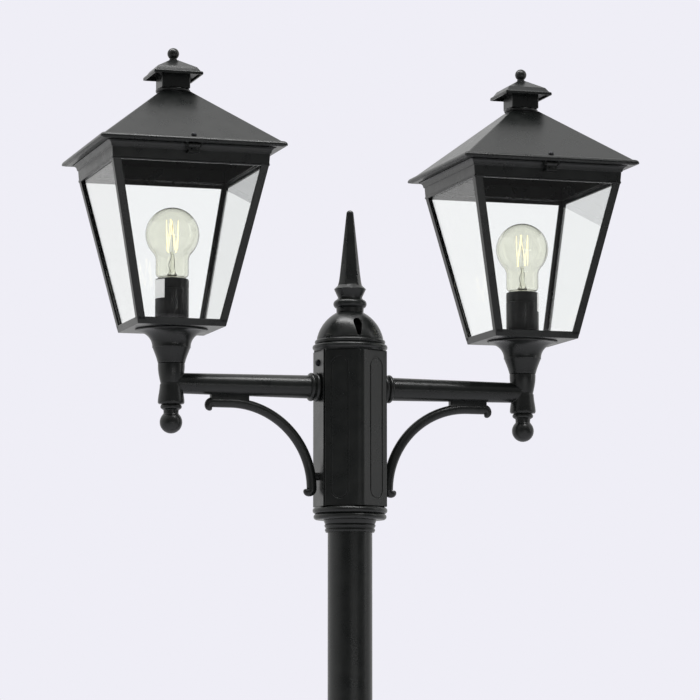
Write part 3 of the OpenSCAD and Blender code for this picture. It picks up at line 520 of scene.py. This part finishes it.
tube = outline((0, plate_x - 13), (9, plate_x - 13), (9, plate_x - 0.5), (arm_root, plate_x),
               (arm_end + 0.1, reach - 5), (0, reach - 5))
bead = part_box("arm_rosettes")[1].x / mm - plate_x
rosette_r = (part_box("arm_rosettes")[1].z - arm_z) / mm
rosette = outline(
    (arm_root, plate_x), (rosette_r - bead / 4, plate_x),
    arc(rosette_r - bead / 4, plate_x + bead / 4, bead / 4, -90, 72),
    arc(rosette_r - bead / 4 - 0.6, plate_x + bead * 3 / 4, bead / 4, -72, 90), (arm_root, plate_x + bead))
for side, name in ((-1, "left"), (1, "right")):
    shells = moved(laid(turned(tube, 64)), z=arm_mm), moved(turned(elbow(), 64), x=reach)
    mesh = mesh_of(f"{name}_arm_tube", *(flipped(shell, side) for shell in shells))
    piece(mesh, coat, "post", "coat_black", f"{name}_arm")
collars = [(flipped(moved(laid(turned(rosette)), z=arm_mm), side), True) for side in (-1, 1)]
piece(mesh_of("rosettes", *collars), coat, "post", "coat_black", "arm_rosettes")


# ---- Braces ----
# Each brace is one round bar bent to a quarter circle. Its top end hooks down and its foot hooks
# out. It is welded to a saddle under the arm and to a short boss on the side plate.
brace_curve, brace_r = 94.3, 5.65
brace_x = plate_x + 2 + brace_r + brace_curve
arm_over_brace = arm_root - (brace_x - plate_x) / (reach - plate_x) * (arm_root - arm_end)
brace_top = arm_mm - arm_over_brace - 2.4 - brace_r
brace_low = brace_top - brace_curve
hook_curve, hook_turn, hook_r = 3.4, 180, 4.8
bar_end = 160.2
saddle_long, saddle_wide = 44, 9


def swept(path, radius, steps=28):
    """A round bar: a circle of each radius stands square to a path in the XZ plane at each of its points."""
    along = np.gradient(path, axis=0)
    along /= np.linalg.norm(along, axis=1, keepdims=True)
    turn = np.linspace(0, 2 * math.pi, steps, endpoint=False)
    across = np.stack([-along[:, 1], along[:, 0]], -1)[:, None, :] * (np.cos(turn)[None, :, None])
    ring = np.stack([across[..., 0], np.broadcast_to(np.sin(turn), across.shape[:2]), across[..., 1]], -1)
    spine = np.stack([path[:, 0], 0 * path[:, 0], path[:, 1]], -1)[:, None, :]
    return spine + ring * np.asarray(radius)[:, None, None]


def bar_radius(path):
    """The bar's radius along its path: full, slimmer through each hook, and closed in a half
    round at each end."""
    run = np.concatenate([[0], np.cumsum(np.linalg.norm(np.diff(path, axis=0), axis=1))])
    nearest = np.minimum(run, run[-1] - run)
    body = hook_r + (brace_r - hook_r) * step_up(nearest / (hook_curve * math.pi * 1.1))
    ball = np.sqrt(np.clip(1 - (1 - np.clip(nearest / hook_r, 0, 1)) ** 2, 0, 1))
    return body * ball


def spaced(path, steps):
    """The same path with evenly spaced points, packed closer at both ends for the round ends."""
    run = np.concatenate([[0], np.cumsum(np.linalg.norm(np.diff(path, axis=0), axis=1))])
    place = (1 - np.cos(np.linspace(0, math.pi, steps))) / 2 * run[-1]
    return np.stack([np.interp(place, run, path[:, k]) for k in (0, 1)], -1)


def block(low, high, z_low, z_high, edge=0.4):
    """A solid between two level outlines: rows at the two ends are drawn in by an edge and
    closed at the middle."""
    middle = (low.mean(0) + high.mean(0)) / 2
    rows = []
    for shape, height, inward in ((low, z_low, 1), (low, z_low, edge), (low, z_low + edge, 0),
                                  (high, z_high - edge, 0), (high, z_high, edge), (high, z_high, 1)):
        pull = middle + (shape - middle) * (0 if inward == 1 else 1 - inward / np.abs(shape - middle).max())
        rows.append(np.concatenate([pull, np.full((len(pull), 1), height)], -1))
    return np.stack(rows)


def rectangle(x0, x1, y0, y1, corner=0.5):
    """A rectangle with eased corners."""
    return eased([(x0, y0), (x1, y0), (x1, y1), (x0, y1)], corner, 3)


brace_path = spaced(outline(
    arc(bar_end, brace_top - hook_curve, hook_curve, 90 - hook_turn, 90, 30), (brace_x, brace_top),
    arc(brace_x, brace_low, brace_curve, 90, 180, 90),
    arc(brace_x - brace_curve + hook_curve, brace_low, hook_curve, 180, 180 + hook_turn, 30)), 220)
saddle = rectangle(bar_end + 2 - saddle_long, bar_end + 2, -saddle_wide / 2, saddle_wide / 2, 1.5)
boss = outline((0, plate_x), (4.5, plate_x), (4.5, plate_x + 6), (0, plate_x + 6))
for side, name in ((-1, "left"), (1, "right")):
    shells = (swept(brace_path, bar_radius(brace_path)),
              block(saddle, saddle, brace_top, arm_mm - arm_end + 2),
              moved(laid(turned(boss, 40)), z=brace_low + 14))
    mesh = mesh_of(f"{name}_brace_bar", *(flipped(shell, side) for shell in shells))
    piece(mesh, coat, "post", "coat_black", f"{name}_brace")


# ---- Drop finials ----
# A turned ball on a necked ring, screwed up into each elbow.
ball_r = 12.5
ball_z = elbow_low - 20.4
drop = outline(
    (0, elbow_low + 0.1), (12.4, elbow_low), arc(9.2, elbow_low - 3.3, 2.7, 70, -70), (8.5, elbow_low - 7.0),
    (8.3, elbow_low - 10.6), (8.9, elbow_low - 11.4), arc(0, ball_z, ball_r, 44, -90, 40))
shells = [moved(turned(drop, 72), x=side * reach) for side in (-1, 1)]
piece(mesh_of("drop_balls", *shells), coat, "post", "coat_black", "drop_finials")


# ---- Lanterns ----
# The two lanterns are alike. Each turns on its arm's spigot on a trumpet socket, which two set
# screws lock. The glass body leans outwards, and the hood over it is hinged behind.
frame_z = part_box("right_bottom_frame")[0].z / mm
crown_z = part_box("right_crown_frame")[0].z / mm
roof_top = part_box("right_hood")[1].z / mm
plate_half, crown_half = 49.6, 87.3
lean = (crown_half - plate_half) / (crown_z - frame_z)
post_wide, post_wall = 9.0, 2.6
rail_h, floor_t = 7.6, 2.6
eave_half = 104.5
lip_z = crown_z + 20
lip_h, foot_up = 5.8, 2.5
roof_foot = eave_half - 1
hinge_y, hinge_z, hinge_r = 99.5, lip_z - 3.8, 3.4
catch_y, catch_z = -98.0, lip_z - 2.8
chimney_half = 16.2
cap_z = roof_top + 20
cap_half = 28.0
ball_stem_z = cap_z + 17


def squared(points, corner, steps=6):
    """Rows of rounded squares: each outline point (half width, height) is carried round four
    sides, with its own corner radius."""
    half, height = np.asarray(points, float).T
    corner = np.minimum(np.broadcast_to(corner, half.shape), half * 0.95)[:, None]
    turn = np.radians(np.linspace(0, 90, steps)[None, :] + 90 * np.arange(4)[:, None])
    mid = turn[:, :1] * 0 + np.radians(45 + 90 * np.arange(4))[:, None]
    sign_x, sign_y = (np.sign(f(mid)) + 0 * turn for f in (np.cos, np.sin))
    x = (half[:, None] - corner) * sign_x.ravel() + corner * np.cos(turn).ravel()
    y = (half[:, None] - corner) * sign_y.ravel() + corner * np.sin(turn).ravel()
    return np.stack([x, y, np.broadcast_to(height[:, None], x.shape)], -1)


def knuckle(x0, x1):
    """One hinge knuckle: a tube along X round the hinge pin."""
    tube_of = outline((1.6, x0), (hinge_r, x0), (hinge_r, x1), (1.6, x1))
    return moved(laid(turned(eased(tube_of, 0.3, 3), 32)), y=hinge_y, z=hinge_z), True


def socket_outline():
    """Trumpet: a slim neck that widens slowly to a fine ring, then a quarter ellipse out to the rim."""
    t = np.linspace(0, 1, 14)
    a = t * math.pi / 2
    neck = np.stack([15.3 + 5.4 * t**1.2, seat_z + 1 + 15.6 * t], -1)
    bell = np.stack([21.3 + 18.5 * (1 - np.cos(a)), seat_z + 18.2 + 17.4 * np.sin(a)], -1)
    return outline((10.1, seat_z), (14.8, seat_z), neck, (20.8, seat_z + 17.1),
                   (21.5, seat_z + 17.5), bell, arc(39.6, frame_z - 0.9, 0.85, -60, 60, 6),
                   (39.6, frame_z), (24, frame_z), (24, frame_z - 7), (13, seat_z + 23),
                   (10.1, seat_z + 19))


def corner_post():
    """Angle section between the tray and the crown: both outlines share the lean of the glass body."""
    z0, z1 = frame_z + rail_h - 3, crown_z + 3
    rows = []
    for z in (z0, z1):
        h = plate_half + lean * (z - frame_z)
        rows.append(eased([(h, h), (h - post_wide, h), (h - post_wide, h - post_wall),
                           (h - post_wall, h - post_wall), (h - post_wall, h - post_wide),
                           (h, h - post_wide)], 0.5))
    low, high = rows
    low_end, high_end = (np.broadcast_to((row.max() - post_wall / 2,) * 2, row.shape) for row in rows)
    layers = (low_end, z0), (low, z0), (high, z1), (high_end, z1)
    return np.stack([np.concatenate([shape, np.full((len(shape), 1), z)], -1) for shape, z in layers])


def spun(grid, degrees):
    """The same grid, turned about the upright axis."""
    c, s = math.cos(math.radians(degrees)), math.sin(math.radians(degrees))
    return grid @ np.array([(c, s, 0), (-s, c, 0), (0, 0, 1)])


def tray_outline():
    """Tray: an outer rail that leans with the body, a groove for the glass, an inner rib and a floor."""
    top = plate_half + lean * rail_h
    return eased([(5, frame_z), (plate_half, frame_z), (top, frame_z + rail_h), (top - 2.6, frame_z + rail_h),
                  (plate_half - 2.1, frame_z + floor_t), (plate_half - 5.6, frame_z + floor_t),
                  (top - 6.1, frame_z + rail_h), (top - 8.1, frame_z + rail_h),
                  (plate_half - 7.6, frame_z + floor_t), (5, frame_z + floor_t)], 0.45, 3)


def crown_outline():
    """Crown: a bead along its foot, a plain fascia, a small step and a cove that opens under the eaves."""
    h = crown_half
    return outline(
        arc(h - 0.1, crown_z + 1.2, 1.2, -90, 70, 6), (h + 0.5, crown_z + 2.6), (h + 1.3, crown_z + 13.2),
        (h + 2.3, crown_z + 13.6), (h + 2.4, crown_z + 14.6), arc(h + 7.3, crown_z + 14.6, 4.7, 180, 98, 8),
        (h + 7.1, crown_z + 19.5), (h - 6.6, crown_z + 19.5), (h - 6.6, crown_z + 6),
        (h - 2.6 + lean * 6, crown_z + 6), (h - 2.6, crown_z))


def hood_outline():
    """Hood: a flange on the crown, a rolled lip with two fine steps under it, the straight roof
    and its wall."""
    e, top = eave_half, lip_z + lip_h
    meet = roof_foot - (lip_h - foot_up) * (roof_foot - chimney_half) / (roof_top - lip_z - foot_up)
    return outline(
        (crown_half + 1.1, lip_z), (e - 4.6, lip_z), arc(e - 4.0, lip_z + 0.6, 0.5, -90, 40, 4),
        (e - 3.3, lip_z + 0.5), arc(e - 2.4, lip_z + 0.9, 0.55, -90, 30, 4), (e - 1.6, lip_z + 1.0),
        arc(e - 0.7, lip_z + 1.5, 0.7, -70, 0, 5), arc(e - 4.2, top - 4.0, 4.2, 6, 72, 12),
        (e - 3.6, top - 0.1), (meet + 0.3, top + 0.2), (chimney_half, roof_top),
        (chimney_half - 2.4, roof_top), (chimney_half - 2.4, roof_top - 4),
        (roof_foot - 4, lip_z + foot_up), (crown_half + 1.1, lip_z + foot_up))


chimney_collar = outline((13.8, roof_top - 4), (18.0, roof_top - 4), (18.0, roof_top - 0.4),
                         arc(17.1, roof_top + 1.9, 2.4, -70, 86, 12), (13.8, roof_top + 4.5))
chimney_neck = eased([(chimney_half, roof_top + 4), (chimney_half, cap_z + 5),
                      (chimney_half - 2.2, cap_z + 5), (chimney_half - 2.2, roof_top + 4)], 0.4, 3)
cap_outline = outline(
    (cap_half - 1.9, cap_z - 2.4), (cap_half - 0.5, cap_z - 2.4), (cap_half, cap_z - 1.9),
    (cap_half, cap_z - 0.3), arc(cap_half - 1.3, cap_z + 0.1, 1.2, 5, 70, 6),
    (cap_half - 2.4, cap_z + 1.9), arc(21.6, cap_z + 6.1, 0.9, 35, 80, 5),
    (4.6, cap_z + 17), (2.6, cap_z + 17), (2.6, cap_z + 15), (chimney_half + 0.6, cap_z + 5),
    (cap_half - 2.1, cap_z + 0.8))
cap_ball = outline((0, ball_stem_z), (4.5, ball_stem_z), (4.3, ball_stem_z + 1.3), (4.0, ball_stem_z + 2.2),
                   arc(0, ball_stem_z + 7.6, 6.6, -52, 90, 28))
stud = outline((0, roof_top + 5), (2.5, roof_top + 5), (2.5, ball_stem_z), (0, ball_stem_z))


def weight(made):
    """Keeps flat faces flat beside their eased edges."""
    made.modifiers.new("flat_faces", "WEIGHTED_NORMAL").keep_sharp = True
    return made


for side, name in ((-1, "left"), (1, "right")):
    centre = side * reach

    def set_at(*shells):
        """Moves shells to this lantern's axis."""
        return [(moved(s[0], x=centre), s[1]) if isinstance(s, tuple) else moved(s, x=centre) for s in shells]

    lantern, hood = f"{name}_lantern", f"{name}_hood"
    mesh = mesh_of(f"{name}_trumpet", *set_at((turned(socket_outline()), True)))
    piece(mesh, coat, lantern, "coat_black", f"{name}_socket")
    mesh = mesh_of(f"{name}_tray", *set_at((squared(tray_outline(), 1.2), True)))
    weight(piece(mesh, coat, lantern, "coat_black", f"{name}_bottom_frame"))
    posts = [spun(corner_post(), turn) for turn in (0, 90, 180, 270)]
    mesh = mesh_of(f"{name}_posts", *set_at(*posts))
    weight(piece(mesh, coat, lantern, "coat_black", f"{name}_corner_posts"))
    web = rectangle(-14, 14, crown_half + 0.5, hinge_y - 2)
    mesh = mesh_of(f"{name}_crown", *set_at(
        (squared(crown_outline(), 1.4), True), knuckle(-15, 15), block(web, web, hinge_z - 2, hinge_z + 2)))
    weight(piece(mesh, coat, lantern, "coat_black", f"{name}_crown_frame"))

    fixings = []
    for edge in (-1, 1):
        x0, x1 = sorted((edge * 15.3, edge * 30.3))
        fixings.append(knuckle(x0, x1))
        leaf = rectangle(x0, x1, hinge_y - hinge_r, hinge_y + hinge_r)
        fixings.append(block(leaf, leaf, hinge_z + 1.7, lip_z + 0.5))
        ear = rectangle(*sorted((edge * 6.6, edge * 8.8)), catch_y - 2.3, catch_y + 2.3)
        fixings.append(block(ear, ear, catch_z - 2.3, lip_z + 0.5))
    corner = np.interp(hood_outline()[:, 1], (lip_z + lip_h, roof_top), (2.6, 0.9))
    mesh = mesh_of(f"{name}_roof", *set_at((squared(hood_outline(), corner), True), *fixings))
    weight(piece(mesh, coat, hood, "coat_black", f"{name}_hood"))
    mesh = mesh_of(f"{name}_stack", *set_at(
        (turned(chimney_collar, 64), True), (squared(chimney_neck, 2.2), True)))
    weight(piece(mesh, coat, hood, "coat_black", f"{name}_chimney"))
    mesh = mesh_of(f"{name}_cap", *set_at((squared(cap_outline, 1.3), True)))
    weight(piece(mesh, coat, hood, "coat_black", f"{name}_chimney_cap"))
    mesh = mesh_of(f"{name}_ball", *set_at(turned(cap_ball, 48), turned(stud, 24)))
    piece(mesh, coat, hood, "coat_black", f"{name}_ball_finial")
    finish(coat, f"{name}_catch")
    finish(zinc, f"{name}_grub_screws", f"{name}_hinge_pin")
    finish(dark_steel, f"{name}_hood_screw")


# ---- Panes ----
# Four clear float-glass panes stand in the tray and reach up behind the crown.
pane_tint = (0.985, 0.995, 0.99, 1)


def clear_glass(name, tint, ripple, rough):
    """Clear glass with a faint tint and slow ripples in its surface."""
    made, tree = material(name)
    bump = shader_node(tree, "Bump", {"Height": noise(tree, 14.0, 1.0), "Strength": ripple,
                                      "Distance": 2 * mm})
    output(tree, shader_node(tree, "BsdfPrincipled", {"Base Color": tint, "Roughness": rough, "IOR": 1.5,
                                                      "Transmission Weight": 1.0,
                                                      "Normal": bump.outputs["Normal"]}))
    return made


pane_glass = clear_glass("pane_glass", pane_tint, 0.04, 0.0)
for name in ("left", "right"):
    finish(pane_glass, *(f"{name}_glass_{face}" for face in ("front", "rear", "left", "right")))


# ---- Lampholders ----
# A black moulded screw holder stands on the tray on a hollow nipple. A blank white sticker is
# wrapped round its side.
holder_z = frame_z + floor_t
holder_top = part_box("right_lampholder")[1].z / mm
holder_r = 18.7
label_low, label_high = holder_top - 22.5, holder_top - 1.8
label_inner, label_outer, label_steps = holder_r + 0.02, holder_r + 0.22, 24
holder_black = moulded("holder_black", (0.006, 0.006, 0.007), (0.012, 0.012, 0.013), 0.28)
label_white = moulded("label_white", (0.82, 0.82, 0.81), (0.90, 0.90, 0.89), 0.45, 0.55)


def label(start, end):
    """A patch of a cylinder just off the holder, between two angles in degrees. Its rows run out
    along the outer sheet and back along the inner one, and both ends close halfway between."""
    turn = np.radians(np.linspace(start, end, label_steps))
    rim = np.concatenate([turn, turn[::-1]])
    out = np.repeat([label_outer, label_inner], label_steps)
    low, high = (np.stack([out * np.cos(rim), out * np.sin(rim), np.full(len(rim), z)], -1)
                 for z in (label_low, label_high))
    return np.stack([(low + low[::-1]) / 2, low, high, (high + high[::-1]) / 2])


holder = outline(
    (0, holder_z - 7), (5, holder_z - 7), (5, holder_z), (holder_r - 3, holder_z),
    (holder_r - 3, holder_z + 6), (holder_r - 0.6, holder_z + 7.4), (holder_r, holder_z + 8.4),
    (holder_r, holder_top - 12),
    (holder_r - 0.5, holder_top - 11.6), (holder_r - 0.5, holder_top - 11), (holder_r, holder_top - 10.6),
    (holder_r, holder_top - 1.8), (holder_r - 0.6, holder_top - 0.5), (holder_r - 1.8, holder_top),
    (13.6, holder_top), (13.5, holder_top - 28), (0, holder_top - 28))
for side, name, start, end in ((-1, "left", -205, -130), (1, "right", -45, 30)):
    mesh = mesh_of(f"{name}_holder", moved(turned(holder, 64), x=side * reach))
    piece(mesh, holder_black, f"{name}_lantern", "holder_black", f"{name}_lampholder")
    mesh = mesh_of(f"{name}_label", moved(label(start, end), x=side * reach))
    piece(mesh, label_white, f"{name}_lantern", "holder_black")


# ---- Bulbs ----
# A clear pear-shaped bulb with a brass screw cap. A glass stem holds two lead wires and a
# support, round which a cage of fine filament stands.
bulb_r = 30.0
bulb_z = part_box("right_bulb_glass")[1].z / mm - bulb_r
cap_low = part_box("right_bulb_cap")[0].z / mm
neck_r, blend_r = 18.4, 14.0
glass_wall = 0.8
thread_r, thread_deep, thread_pitch = 13.0, 0.8, 3.6
cage_r, cage_top, cage_low, cage_legs = 6.6, bulb_z + 16, bulb_z - 19, 8
cage_sway, cage_share = 0.42, 0.9
# The second colour is the filament's painted glow: an emission on a bulb that is not lit.
filament_base, filament_glow_colour = (0.9, 0.8, 0.6, 1), (1.0, 0.86, 0.55, 1)
brass = plated("bulb_brass", (0.66, 0.56, 0.36), 0.25)
bulb_glass = clear_glass("bulb_glass", (0.965, 0.968, 0.90, 1), 0.02, 0.0)


def bulb_wall(inset):
    """Outline of the glass from cap to crown: a short foot, a shoulder, the neck and a blend up
    to the globe."""
    blend_x = neck_r + blend_r
    drop_to = math.sqrt((bulb_r + blend_r) ** 2 - blend_x**2)
    a = math.degrees(math.atan(drop_to / blend_x))
    return outline(
        (12.4 - inset, cap_low + 22), (12.4 - inset, holder_top + 1),
        arc(neck_r - 5, holder_top + 6, 5 - inset, -80, 0),
        arc(blend_x, bulb_z - drop_to, blend_r + inset, 180, 180 - a, 20),
        arc(0, bulb_z, bulb_r - inset, -a, 90, 48))


def screw_cap():
    """Rolled thread: each height's radius follows a wave that climbs one pitch a turn, between a
    contact and a rim."""
    turn = np.linspace(0, 2 * math.pi, 72, endpoint=False)
    height = np.linspace(5, 20, 60)[:, None]
    climb = 2 * math.pi * (height / thread_pitch - turn / (2 * math.pi))
    wave = thread_r - thread_deep * (0.5 - 0.5 * np.cos(climb))
    thread = np.stack([wave * np.cos(turn), wave * np.sin(turn), cap_low + height + 0 * turn], -1)
    foot = turned(outline((0, cap_low), (4.8, cap_low), (5, cap_low + 1.6), (9.5, cap_low + 4.4)), 72)
    rim = turned(outline((thread_r, cap_low + 21.9), (0, cap_low + 21.9)), 72)
    return np.concatenate([foot, thread, rim])


def wire(points, radius, steps=8):
    """A round wire through points in space: a circle square to the path at each point, with its
    ends closed on the path."""
    points = np.asarray(points, float)
    along = np.gradient(points, axis=0)
    along /= np.linalg.norm(along, axis=1, keepdims=True)
    rest = np.where(np.abs(along[:, 2:]) > 0.8, (1.0, 0, 0), (0, 0, 1.0))
    one = np.cross(along, rest)
    one /= np.linalg.norm(one, axis=1, keepdims=True)
    two = np.cross(along, one)
    turn = np.linspace(0, 2 * math.pi, steps, endpoint=False)[None, :, None]
    size = np.full((len(points), 1, 1), radius)
    size[[0, -1]] = 0
    return points[:, None] + size * (np.cos(turn) * one[:, None] + np.sin(turn) * two[:, None])


def cage():
    """Filament: it runs up and down between two rings, with a hairpin at each end of every leg.
    Each leg sways round by a share of the gap, and the cage takes a share of the whole turn."""
    leg = np.arange(cage_legs)
    rise = np.linspace(0, 1, 12)[None, :]
    sway = cage_sway * np.sin(rise * math.pi - math.pi / 2) + cage_sway
    angle = (leg[:, None] + sway) / cage_legs * 2 * math.pi * cage_share
    span = (cage_top - cage_low) * rise
    height = np.where(leg[:, None] % 2 == 0, cage_low + span, cage_top - span)
    return np.stack([cage_r * np.cos(angle), cage_r * np.sin(angle), height], -1).reshape(-1, 3)


# Painted glow: a mild emission makes the fine filament read bright, though the bulb is not lit.
filament, tree = material("filament")
filament_gloss = ramp(tree, noise(tree, 300.0), (0.3, 0.8), (0.7, 1.0))
output(tree, shader_node(tree, "BsdfPrincipled", {"Base Color": filament_base, "Roughness": filament_gloss,
                                                  "Emission Color": filament_glow_colour,
                                                  "Emission Strength": 1.6}))
lead_steel = plated("lead_steel", (0.30, 0.28, 0.25), 0.3)
stem = outline(
    (0, cap_low + 22), (6.4, cap_low + 22), (5.2, cap_low + 30), (2.6, cap_low + 38),
    (2.0, cap_low + 46), (1.8, bulb_z - 22), arc(0, bulb_z - 21, 2.2, -50, 90, 8))
for side, name in ((-1, "left"), (1, "right")):
    centre, body = side * reach, f"{name}_bulb"
    wall = np.concatenate([bulb_wall(0), bulb_wall(glass_wall)[::-1]])
    mesh = mesh_of(f"{name}_globe", (moved(turned(wall, 96), x=centre), True))
    piece(mesh, bulb_glass, body, "bulb_glass", f"{name}_bulb_glass")
    mesh = mesh_of(f"{name}_screw_cap", moved(screw_cap(), x=centre))
    piece(mesh, brass, body, "bulb_brass", f"{name}_bulb_cap")
    mesh = mesh_of(f"{name}_stem", moved(turned(stem, 40), x=centre))
    piece(mesh, bulb_glass, body, "bulb_glass")
    mesh = mesh_of(f"{name}_cage", moved(spun(wire(cage(), 0.32), 40 * side), x=centre))
    piece(mesh, filament, body, "filament", f"{name}_bulb_filament")
    rise = np.linspace(0, 1, 20)[:, None]
    lead_low = cap_low + 24
    leads = [wire(np.concatenate([s * (3.2 - 1.2 * np.sin(rise * 9)), 0.8 * np.cos(rise * 12),
                                  lead_low + (cage_low - lead_low) * rise], -1), 0.3) for s in (-1, 1)]
    hub = np.linspace(bulb_z - 20, cage_top, 6)[:, None]
    leads.append(wire(np.concatenate([0 * hub, 0 * hub, hub], -1), 0.28))
    mesh = mesh_of(f"{name}_leads", *(moved(spun(lead, 30), x=centre) for lead in leads))
    piece(mesh, lead_steel, body, "filament")
